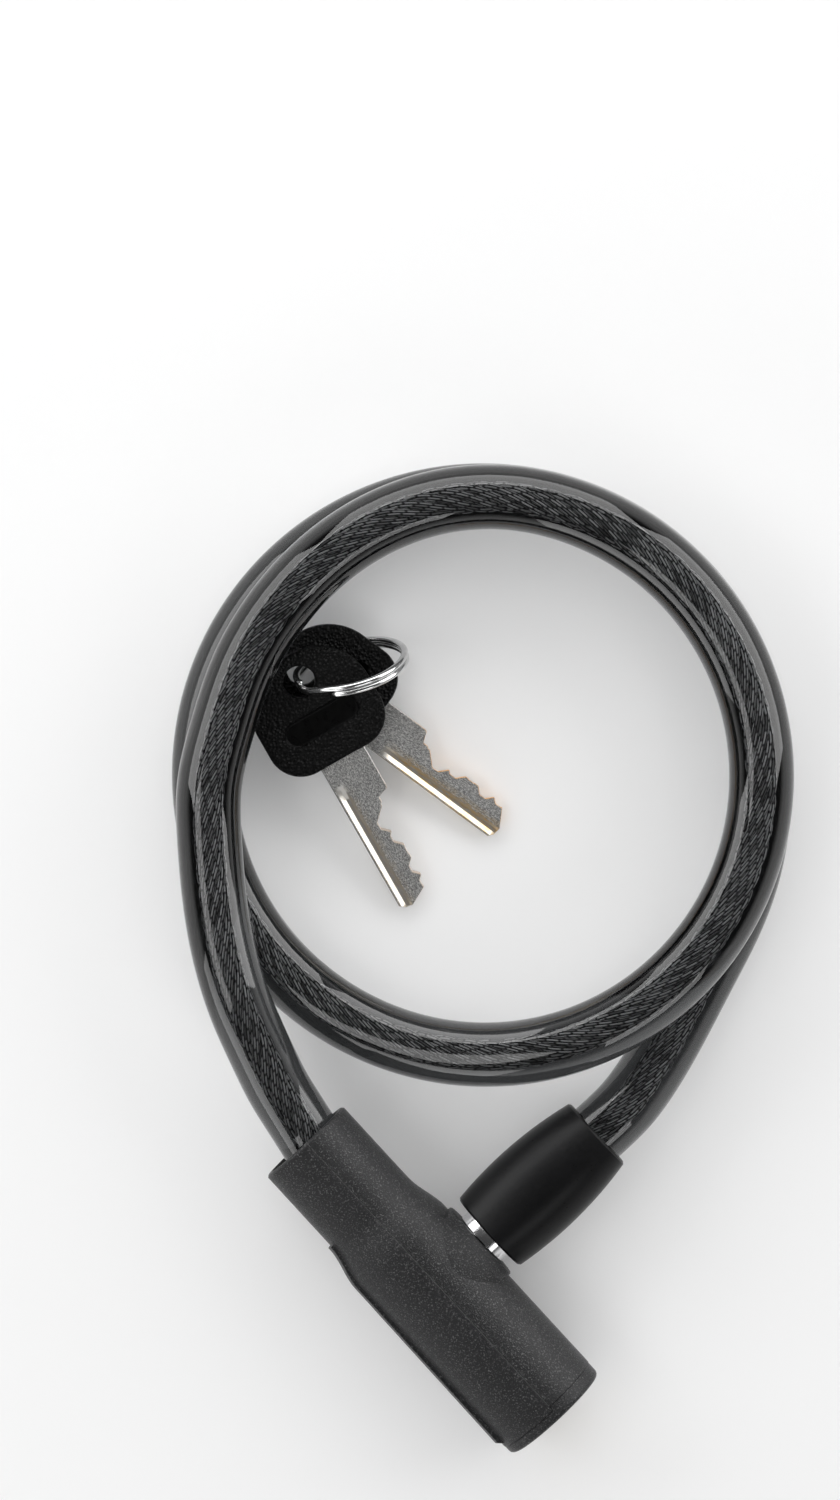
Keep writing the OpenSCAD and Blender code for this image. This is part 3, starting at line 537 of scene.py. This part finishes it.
# %% Wires
class Wire:
    """A value in a material. Sums with it add Math nodes."""

    def __init__(self, net, socket):
        self.net, self.socket = net, socket

    def math(self, operation, *values):
        return self.net.node("Math", {"operation": operation}, dict(enumerate(values)))

    def __add__(self, other):
        return self.math("ADD", self, other)

    def __radd__(self, other):
        return self.math("ADD", other, self)

    def __sub__(self, other):
        return self.math("SUBTRACT", self, other)

    def __rsub__(self, other):
        return self.math("SUBTRACT", other, self)

    def __mul__(self, other):
        return self.math("MULTIPLY", self, other)

    def __rmul__(self, other):
        return self.math("MULTIPLY", other, self)

    def __truediv__(self, other):
        return self.math("DIVIDE", self, other)

    def __rtruediv__(self, other):
        return self.math("DIVIDE", other, self)

    def __pow__(self, other):
        return self.math("POWER", self, other)

    def __rpow__(self, other):
        return self.math("POWER", other, self)

    def __abs__(self):
        return self.math("ABSOLUTE", self)

    def at_least(self, other):
        return self.math("MAXIMUM", self, other)

    def sine(self):
        return self.math("SINE", self)

    def whole(self):
        return self.math("FLOOR", self)


# %% A net of nodes
class Net:
    """The nodes of a material or of the world."""

    def __init__(self, owner, end):
        owner.use_nodes = True
        self.owner, self.tree = owner, owner.node_tree
        self.tree.nodes.clear()
        self.end = self.tree.nodes.new(end)

    def node(self, kind, settings=None, inputs=None, output=0):
        """Adds any node: its kind, its settings, and then what goes into its sockets."""
        made = self.tree.nodes.new("ShaderNode" + kind)
        for key, value in (settings or {}).items():
            if key == "stops":
                ramp = made.color_ramp.elements
                while len(ramp) < len(value):
                    ramp.new(0.5)
                for stop, (place, colour) in zip(ramp, value):
                    stop.position, stop.color = place, (*colour, 1)
            else:
                setattr(made, key, value)
        for key, value in (inputs or {}).items():
            self.feed(made.inputs[key], value)
        return Wire(self, made.outputs[output])

    def feed(self, socket, value):
        if isinstance(value, Wire):
            self.tree.links.new(value.socket, socket)
        elif hasattr(value, "__len__") and len(value) == 3 and len(socket.default_value) == 4:
            socket.default_value = (*value, 1)
        else:
            socket.default_value = value

    def outputs(self, kind, inputs=None):
        """All outputs of a node, by name."""
        made = self.node(kind, {}, inputs).socket.node
        return {socket.name: Wire(self, socket) for socket in made.outputs}

    def xyz(self, value):
        return self.outputs("SeparateXYZ", {0: value}).values()

    def ramp(self, value, *stops):
        """Turns a value into a grey between the stops, each a place and a level."""
        return self.node("ValToRGB", {"stops": [(p, (g, g, g)) for p, g in stops]}, {0: value})

    def done(self, shader, volume=None):
        self.tree.links.new(shader.socket, self.end.inputs["Surface"])
        if volume is not None:
            self.tree.links.new(volume.socket, self.end.inputs["Volume"])
        return self.owner


# %% Finishes
class Finish(Net):
    """A material under construction, with the sums and patterns that finishes share."""

    def __init__(self, name):
        super().__init__(bpy.data.materials.new(name), "ShaderNodeOutputMaterial")

    def vector(self, operation, a, b=None):
        """Vector Math: a value for a length, a distance or a dot product, and else a vector."""
        as_value = operation in ("LENGTH", "DISTANCE", "DOT_PRODUCT")
        inputs = {0: a} if b is None else {0: a, 1: b}
        return self.node("VectorMath", {"operation": operation}, inputs, output=int(as_value))

    def mix(self, share, a, b):
        return self.node("Mix", {"data_type": "RGBA"}, {0: share, 6: a, 7: b}, output=2)

    def place(self):
        return self.node("TexCoord", output="Object")

    def noise(self, where, size, detail=2.0, roughness=0.5):
        """Noise whose lumps are about size across."""
        return self.node("TexNoise", {}, {"Vector": where, "Scale": 1 / size, "Detail": detail,
                                          "Roughness": roughness})

    def cells(self, where, size):
        return self.node("TexVoronoi", {}, {"Vector": where, "Scale": 1 / size})

    def stretched(self, where, scale, turn=(0, 0, 0)):
        return self.node("Mapping", {}, {"Vector": where, "Rotation": turn, "Scale": scale})

    def rounded(self, radius, samples=4):
        """Shades sharp edges as if they were rounded."""
        return self.node("Bevel", {"samples": samples}, {"Radius": radius})

    def bump(self, height, depth, strength=1.0, under=None):
        inputs = {"Height": height, "Distance": depth, "Strength": strength}
        if under is not None:
            inputs["Normal"] = under
        return self.node("Bump", {}, inputs)

    def surface(self, **inputs):
        """The main shader, with inputs named as on the node but in Python's way."""
        named = {key.replace("_", " ").title().replace("Ior", "IOR"): v for key, v in inputs.items()}
        return self.node("BsdfPrincipled", {}, named)


# %% Putting a material on pieces
def wear(material, *pieces, slot=None):
    """Puts a material on pieces, new ones or CAD nodes by name."""
    for piece in pieces:
        piece = nodes[piece] if isinstance(piece, str) else piece
        piece.data.materials.clear()
        piece.data.materials.append(material)
    print(material.name, "has", len(material.node_tree.nodes), "nodes and is worn by", len(pieces))


# %% [markdown]
# ## Smoky clear PVC
# The sleeve is a lens: it shows the core wider than it is, with dark edges and bright bands
# where the lamps mirror in it. A painted stripe would stay put when the view changes, so this
# is a true refractive shader with PVC's index of 1.53. Its smoke is a grey tint where light
# goes in and out, and a grey that builds up with depth. Light for the core passes straight
# through, since a render would take very long to find it otherwise.

# %% Clear sleeve
PVC_TINT, PVC_SMOKE, SMOKE_DENSITY = (0.085, 0.087, 0.089), (0.10, 0.11, 0.12), 60.0
RIPPLE_SIZE, RIPPLE_DEPTH = 16 * MM, 0.2 * MM    # a drawn tube is never quite even


def clear_pvc():
    f = Finish("clear_pvc")
    ripple = f.noise(f.place(), RIPPLE_SIZE, detail=0)
    glass = f.surface(base_color=PVC_TINT, roughness=0.02, transmission_weight=1.0, ior=1.53,
                      coat_weight=0.2, coat_roughness=0.02, coat_ior=1.5,
                      normal=f.bump(ripple, RIPPLE_DEPTH, 0.5))
    open_way = f.node("BsdfTransparent", {}, {"Color": (0.95, 0.95, 0.95)})
    lamps_through = f.node("LightPath", output="Is Shadow Ray")
    shader = f.node("MixShader", {}, {0: lamps_through, 1: glass, 2: open_way})
    smoke = f.node("VolumeAbsorption", {}, {"Color": PVC_SMOKE, "Density": SMOKE_DENSITY})
    return f.done(shader, smoke)


wear(clear_pvc(), sleeve, sleeve_tail, slot="clear_pvc")

# %% [markdown]
# ## Steel wires
# Each strand is itself twisted from fine wires. They are far too thin to model over 68 cm, so
# the strand's own coordinates, round and along, number them. A wave across each gives it a
# round back, and chance decides how bright a glint is painted on each short length of it. The
# rest is dark steel, darker still between the wires, which is painted shade. That gives the
# short bright dashes of a real rope, which are painted glints.

# %% Twisted wires
WIRES_ROUND, WIRE_LAY = 9, 22        # wires round a strand, and the mm in which they shift by one
# The dashes are painted glints: their length, and how far they are staggered.
GLINT_LENGTH, GLINT_SHIFT = 2.6, 0.37  # mm, and how far each wire's dashes lie behind its neighbour's


def wire_rope():
    f = Finish("wire_rope")
    around, length, _ = f.xyz(f.node("UVMap"))

    # Each wire's number and round back, and the number of each short length of it.
    wires = around * WIRES_ROUND + length / WIRE_LAY
    crest = abs((wires * math.pi).sine())
    number = wires.whole()
    place = length / GLINT_LENGTH + number * GLINT_SHIFT
    chance = f.node("TexWhiteNoise", {"noise_dimensions": "2D"},
                    {"Vector": f.node("CombineXYZ", {}, {0: number, 1: place.whole()})})

    # Painted glints on the backs of the wires, over dark steel with painted shade between them.
    glint_strength = f.ramp(chance, (0.0, 0.12), (0.45, 1.0))
    glint_end = f.ramp(abs((place * math.pi).sine()), (0.15, 0.0), (0.45, 1.0))
    painted_glint = f.ramp(crest, (0.42, 0.0), (0.66, 1.0)) * glint_end * glint_strength
    # Painted shade: the dark steel gets darker still in the gaps between the wires.
    dull = f.mix(f.ramp(crest, (0.3, 0.0), (0.9, 1.0)), (0.010, 0.010, 0.011), (0.12, 0.12, 0.122))
    return f.done(f.surface(base_color=f.mix(painted_glint, dull, (1.0, 1.0, 1.0)), metallic=0.35,
                            roughness=0.34, normal=f.bump(crest, 0.22 * MM)))


wear(wire_rope(), core, core_tail, slot="cable_steel")

# %% [markdown]
# ## Places in the barrel
# Two details of the barrel's finish depend on the place. The parting line is a hairline where
# the two half shells meet, painted paler as a painted highlight of the light its edge catches.
# Round the boss the moulding runs together more softly than its mesh does. A painted picture
# would do it, but sums need no unwrapping: a place's distance from the parting plane gives the
# painted line, and the direction from the barrel's middle gives the plain round form that the
# shading takes near the boss.

# %% Finding the boss and the parting line
PARTING_TURN = math.radians(4.5)          # how far the parting line lies off the top
BOSS_AT, BOSS_REACH = 10 * MM, 20 * MM    # along the bolt, and the distance that the ramp spans
SOFT_EDGE = 2.6 * MM
LINE_END = 65.5 * MM                      # from the mouth, where the collar begins


def in_barrel(f):
    """How near the boss is, which way is out from the barrel's middle, and the parting line's painted
    highlight.
    """
    place = f.place()
    moved = f.vector("SUBTRACT", place, tuple(mouth))
    way = f.vector("DOT_PRODUCT", moved, tuple(along))
    foot = f.node("VectorMath", {"operation": "SCALE"}, {0: tuple(along), 3: way})
    outward = f.vector("NORMALIZE", f.vector("SUBTRACT", moved, foot))

    # Near the boss, and only on what faces up.
    from_boss = f.vector("DISTANCE", place, tuple(lock_point(bolt_x, BOSS_AT)))
    _, _, upward = f.xyz(f.rounded(SOFT_EDGE, 8))
    near = f.ramp(from_boss / BOSS_REACH, (0.50, 1.0), (0.70, 0.0))
    near = near * f.ramp(upward, (0.15, 0.0), (0.60, 0.85))

    # A painted highlight near the parting plane, as far as the collar.
    plane = across * math.cos(PARTING_TURN) - Vector((0, 0, math.sin(PARTING_TURN)))
    off = f.vector("DOT_PRODUCT", moved, tuple(plane))
    seam_highlight = f.ramp(abs(off) / MM, (0.05, 1.0), (0.13, 0.0))
    seam_highlight = seam_highlight * f.ramp((way - LINE_END) / MM, (0.0, 1.0), (0.5, 0.0))
    return near, outward, seam_highlight


# %% [markdown]
# ## Places on a key
# A key's recess, groove and cuts are at fixed places of the key, but the key lies turned and
# sloped in the scene. So a place is moved to the key's hole and turned back: x then runs along
# the blade, y towards the cuts and z out of its face.


# %% Finding places on a key
def in_key(f, i):
    """A place turned level to a key's heading, and then x and y of the key itself."""
    heading, slope = (math.radians(a) for a in key_turn[i])
    moved = f.vector("SUBTRACT", f.place(), tuple(key_hole[i]))
    level = f.stretched(moved, (1, 1, 1), turn=(0, 0, -heading))
    x, y, _ = f.xyz(f.stretched(level, (1, 1, 1), turn=(0, -slope, 0)))
    return level, x, y


# %% [markdown]
# ## Grained black plastics
# The covers, the head and the key bows are black mouldings with a spark-eroded grain: fine on
# the barrel, finer and glossier on the head, coarse pebbles on the bows. Grain is relief, so
# each is a bump from noise or cells of its own size, over a soft rounding of the sharp edges.
# The tips of a grain catch the light one by one, which is too small to render, so a paler
# speck stands for each.

# %% Plastics
RECESS_SPAN, BROAD_SIZE = 5 * MM, 9 * MM
GLOSS_SPREAD = 0.18    # how much a plastic's roughness varies from place to place


def pebbles(f, i, size):
    """Cells on a bow's face, and nothing in its recess."""
    _, x, y = in_key(f, i)
    past_end = (abs(y) - (RECESS_LENGTH - RECESS_WIDTH) / 2).at_least(0.0)
    from_recess = ((x - RECESS_X) ** 2 + past_end ** 2) ** 0.5
    outside = f.ramp(from_recess / RECESS_SPAN, (0.44, 0.0), (0.52, 1.0))
    return f.cells(f.place(), size) * outside


def moulded(name, colour, glint_speck, grain, depth, edge, roughness, level, key=None, barrel=False):
    """Black plastic. Level says how strongly its skin mirrors, from 0 to 1."""
    f = Finish(name)
    where = f.place()
    under = f.rounded(edge)
    if key is None:
        fine = f.noise(where, grain, detail=3, roughness=0.65)
    else:
        fine = pebbles(f, key, grain)
    broad = f.noise(where, BROAD_SIZE, detail=2)
    # Painted glints: the tips of the grain get a paler colour.
    glint_tips = f.ramp(fine, (0.55, 0.0), (0.72, 1.0))
    paint = f.mix(f.ramp(broad, (0.3, 0.0), (0.7, 1.0)), tuple(c * 0.8 for c in colour), colour)
    paint = f.mix(glint_tips, paint, glint_speck)
    if barrel:
        near_boss, outward, seam_highlight = in_barrel(f)
        under = f.node("Mix", {"data_type": "VECTOR"}, {0: near_boss, 4: under, 5: outward}, output=1)
        # The parting line is painted paler: a painted highlight.
        paint = f.mix(seam_highlight, paint, (0.07, 0.07, 0.07))
    dull = f.noise(where, grain * 2.2, detail=1) * GLOSS_SPREAD + (roughness - GLOSS_SPREAD / 2)
    return f.done(f.surface(base_color=paint, roughness=dull, specular_ior_level=level,
                            normal=f.bump(fine, depth, 0.8, under=under)))


cover_plastic = moulded("cover_plastic", (0.014, 0.014, 0.015), glint_speck=(0.13, 0.13, 0.13),
                        grain=0.30 * MM, depth=0.16 * MM, edge=0.35 * MM, roughness=0.36,
                        level=0.17, barrel=True)
head_plastic = moulded("head_plastic", (0.005, 0.005, 0.0055), glint_speck=(0.009, 0.009, 0.009),
                       grain=0.22 * MM, depth=0.010 * MM, edge=0.30 * MM, roughness=0.32, level=0.12)
wear(cover_plastic, "cover_left", "cover_right", "end_collar")
wear(head_plastic, "head_cover")
for i, bow in enumerate(bows):
    bow_plastic = moulded(f"bow_plastic_{i + 1}", (0.002, 0.002, 0.002), glint_speck=(0.002, 0.002, 0.002),
                          grain=0.56 * MM, depth=0.44 * MM, edge=0.20 * MM, roughness=0.30,
                          level=0.09, key=i)
    wear(bow_plastic, bow, slot="bow_plastic")

# %% [markdown]
# ## Metals
# The bolt and the ring are bright plated, the plug and wafers are brass, and the case inside is
# cast zinc. All are fully metallic. They differ in colour, in how rough they are and in the
# direction of their fine marks, so one function makes them all. The ring's wire is so thin that
# marks on it would only look like noise, so it has none.

# %% Metals
MARK_SIZE, METAL_EDGE, CLOUD_SIZE = 0.6 * MM, 0.12 * MM, 5 * MM
MARK_SPREAD = 0.22    # how much the marks vary a metal's roughness


def metal(name, colour, roughness, marks=(1, 1, 1), depth=0.004 * MM):
    """Plated, turned or cast metal. Marks are stretched along the axis with the least scale."""
    f = Finish(name)
    where = f.place()
    cloud = f.noise(where, CLOUD_SIZE, detail=2)
    dark = tuple(c * 0.78 for c in colour)
    look = {"base_color": f.mix(f.ramp(cloud, (0.35, 0.0), (0.65, 1.0)), dark, colour),
            "metallic": 1.0, "roughness": roughness}
    if marks:
        scratch = f.noise(f.stretched(where, marks), MARK_SIZE, detail=4, roughness=0.7)
        look["roughness"] = scratch * MARK_SPREAD + (roughness - MARK_SPREAD / 2)
        look["normal"] = f.bump(scratch, depth, 0.7, under=f.rounded(METAL_EDGE))
    return f.done(f.surface(**look))


wear(metal("bright_steel", (0.88, 0.88, 0.89), 0.16), "locking_bolt")
wear(metal("ring_steel", (0.84, 0.84, 0.84), 0.15, marks=None), ring_wire, slot="ring_steel")
wear(metal("brass", (0.78, 0.60, 0.30), 0.28, marks=(1, 6, 1)), "plug", "wafers")
wear(metal("die_cast_zinc", (0.56, 0.57, 0.59), 0.45, depth=0.01 * MM), "lock_housing", "locking_slider")
wear(metal("plain_steel", (0.60, 0.60, 0.61), 0.32, marks=(1, 1, 5)),
     "cable_anchor", "anchor_pin", "plug_retaining_pin", "wafer_springs", "crimp_sleeve")

# %% [markdown]
# ## Nickel over brass
# A key is stamped from brass and nickel plated. Its faces are ground, which leaves a fine even
# grain, and brass shows in the groove, which is milled later, and on the walls of the cuts. How
# far a face turns away from the key's own front tells ground faces from walls, and the place
# on the key tells the rest.

# %% Key finish
SIDE_SPAN, EDGE_SPAN = 4 * MM, 9 * MM    # measured across the blade from its back edge
GRAIN_SIZE, STREAK_SIZE, GRAIN_DEPTH = 0.17 * MM, 0.30 * MM, 0.008 * MM
NICKEL_DARK, NICKEL_BRIGHT, NICKEL_PLAIN = (0.30, 0.296, 0.29), (0.92, 0.91, 0.89), (0.54, 0.53, 0.51)
BRASS_WORN, BRASS_CUT = (0.66, 0.47, 0.22), (0.62, 0.34, 0.12)


def key_nickel(i, tint):
    """Tint says how much of its plating a key has lost."""
    f = Finish(f"key_nickel_{i + 1}")
    level, x, y = in_key(f, i)

    # Where the groove is, where plating wears off, and what lies past the shank.
    from_back, from_bow = y - back, x - bow_front
    groove_side = f.ramp(from_back / SIDE_SPAN, (0.09, 0.0), (0.10, 1.0), (0.60, 1.0), (0.61, 0.0))
    in_groove = groove_side * f.ramp((from_bow - GROOVE_START) / MM, (0.0, 0.0), (0.1, 1.0))
    worn_side = f.ramp(from_back / SIDE_SPAN, (0.02, 1.0), (0.60, 1.0), (0.95, 0.0))
    past_shank = f.ramp(from_bow / blade_len, (0.12, 0.0), (0.30, 1.0))

    # The walls of the cuts turn away from the key's front, and the ground faces don't.
    front = (key_place(i).to_3x3() @ Vector((0, 0, 1)))[:]
    facing = abs(f.vector("DOT_PRODUCT", f.node("NewGeometry", output="Normal"), front))
    cut_side = f.ramp(from_back / EDGE_SPAN, (0.35, 0.0), (0.42, 1.0))
    wall = f.ramp(facing, (0.6, 1.0), (0.9, 0.0)) * cut_side * past_shank
    ground = f.ramp(facing, (0.96, 0.0), (0.99, 1.0)) * (1 - in_groove)

    # Nickel with a fine grain where it is ground, and brass where it is worn or cut.
    grain = f.noise(f.stretched(level, (0.4, 1, 1)), GRAIN_SIZE, detail=3, roughness=0.75)
    streak = f.noise(f.stretched(level, (0.12, 1, 1)), STREAK_SIZE, detail=3, roughness=0.7)
    nickel = f.mix(f.ramp(grain, (0.42, 0.0), (0.60, 1.0)), NICKEL_DARK, NICKEL_BRIGHT)
    nickel = f.mix(ground, NICKEL_PLAIN, nickel)
    worn = worn_side * past_shank * f.ramp(streak, (0.38, 0.0), (0.62, 1.0)) * tint
    paint = f.mix(wall * tint, f.mix(worn, nickel, BRASS_WORN), BRASS_CUT)
    return f.done(f.surface(base_color=paint, metallic=1.0, roughness=grain * 0.10 + 0.26,
                            normal=f.bump(grain, GRAIN_DEPTH, 0.8)))


wear(key_nickel(0, tint=0.30), blades[0], slot="key_nickel")
wear(key_nickel(1, tint=0.9), blades[1], slot="key_nickel")

# %% [markdown]
# ## Floor
# The lock lies on white paper. Paper alone would darken away from the lamps, and more light
# would wash out the lock. So an evenly bright backdrop is mixed in, in part near the lock and
# wholly from 60 cm on. Only the camera and rays that mirror or pass through something see that
# brightness, and close under the lock the paper stays as it is, so that it keeps the shadows.

# %% Floor
FLOOR_HALF = 1.6
BACKDROP_SHARES = [(0.0, 0.40), (0.25, 0.55), (0.60, 1.0)]    # metres from the middle, share of it
SHADOW_REACH = 20 * MM


def floor_paint():
    """Paper that turns into an evenly bright backdrop away from the lock."""
    f = Finish("floor_paper")
    paper = f.surface(base_color=(0.95, 0.95, 0.95), roughness=0.9, specular_ior_level=0.0)
    backdrop = f.node("Emission", {}, {"Color": (0.96, 0.96, 0.96)})
    away = f.vector("LENGTH", f.place())
    far = f.ramp(away, *BACKDROP_SHARES)
    ray = f.outputs("LightPath")
    seen = ray["Is Camera Ray"] + ray["Is Glossy Ray"] + ray["Is Transmission Ray"]
    open_floor = f.node("AmbientOcclusion", {"samples": 8}, {"Distance": SHADOW_REACH}, output=1)
    return f.done(f.node("MixShader", {}, {0: far * seen * open_floor, 1: paper, 2: backdrop}))


corners = [(x * FLOOR_HALF, y * FLOOR_HALF, 0) for x, y in ((-1, -1), (1, -1), (1, 1), (-1, 1))]
floor = new_object("floor", corners, [[0, 1, 2, 3]], smooth=False)
wear(floor_paint(), floor)

# %% [markdown]
# ## Lamps
# Three large soft boxes stand behind the lock and at both sides, some sixty degrees down from
# straight above. Their mirror images are the long bands on the sleeve. Bare lamps would give
# hard points instead. A strip, a low box and a front one fill the near flanks. The sleeve
# mirrors only a twentieth of what it sees, so four of the boxes have a second lamp that matt
# surfaces don't see and that shows only where things mirror: in the sleeve, in metal and in
# the gloss of the plastics.

# %% Lamps
LAMP_DISTANCE = 0.9    # metres


def softbox(name, azimuth, tilt, width, height, level, shine=0):
    """A lamp that faces the lock, tilt degrees down from straight above. With shine it gets a
    second lamp in the same place, which matt surfaces don't see."""
    a, t = math.radians(azimuth), math.radians(tilt)
    way = Vector((math.cos(a) * math.sin(t), math.sin(a) * math.sin(t), math.cos(t)))
    lamps = [("", level)] + ([("_shine", shine)] if shine else [])
    for kind, radiance in lamps:
        lamp = bpy.data.lights.new(name + kind, "AREA")
        lamp.shape, lamp.size, lamp.size_y = "RECTANGLE", width, height
        lamp.energy = radiance * math.pi * width * height
        made = bpy.data.objects.new(name + kind, lamp)
        made.location = way * LAMP_DISTANCE
        made.rotation_euler = (-way).to_track_quat("-Z", "Y").to_euler()
        made.visible_diffuse = not kind
        bpy.context.scene.collection.objects.link(made)


softbox("right_softbox", azimuth=28, tilt=64, width=0.80, height=0.58, level=3.1, shine=13.0)
softbox("back_softbox", azimuth=92, tilt=62, width=1.00, height=0.60, level=3.1, shine=12.0)
softbox("left_softbox", azimuth=154, tilt=62, width=0.70, height=0.50, level=3.1, shine=13.0)
softbox("side_strip", azimuth=205, tilt=36, width=0.60, height=0.30, level=2.2, shine=9.4)
softbox("low_softbox", azimuth=228, tilt=74, width=1.00, height=0.40, level=1.9)
softbox("front_softbox", azimuth=300, tilt=54, width=0.50, height=0.26, level=2.2)

# %% [markdown]
# ## Studio round the lock
# A clear sleeve and bright metal show what stands round them. The world is pale along the
# horizon, like a studio's backdrop, and dark above, which keeps the sleeve's edges dark. It is
# a ramp on the height of each direction, with no picture to load. The Standard view then shows
# every colour as it is written.


# %% World
def studio():
    net = Net(bpy.data.worlds.new("studio"), "ShaderNodeOutputWorld")
    _, _, upward = net.xyz(net.node("TexCoord", output="Generated"))
    sky = net.ramp(upward, (0.12, 0.92), (0.40, 0.06))
    return net.done(net.node("Background", {}, {"Color": sky}))


bpy.context.scene.world = studio()
bpy.context.scene.view_settings.view_transform = "Standard"
print("world:", bpy.context.scene.world.name)
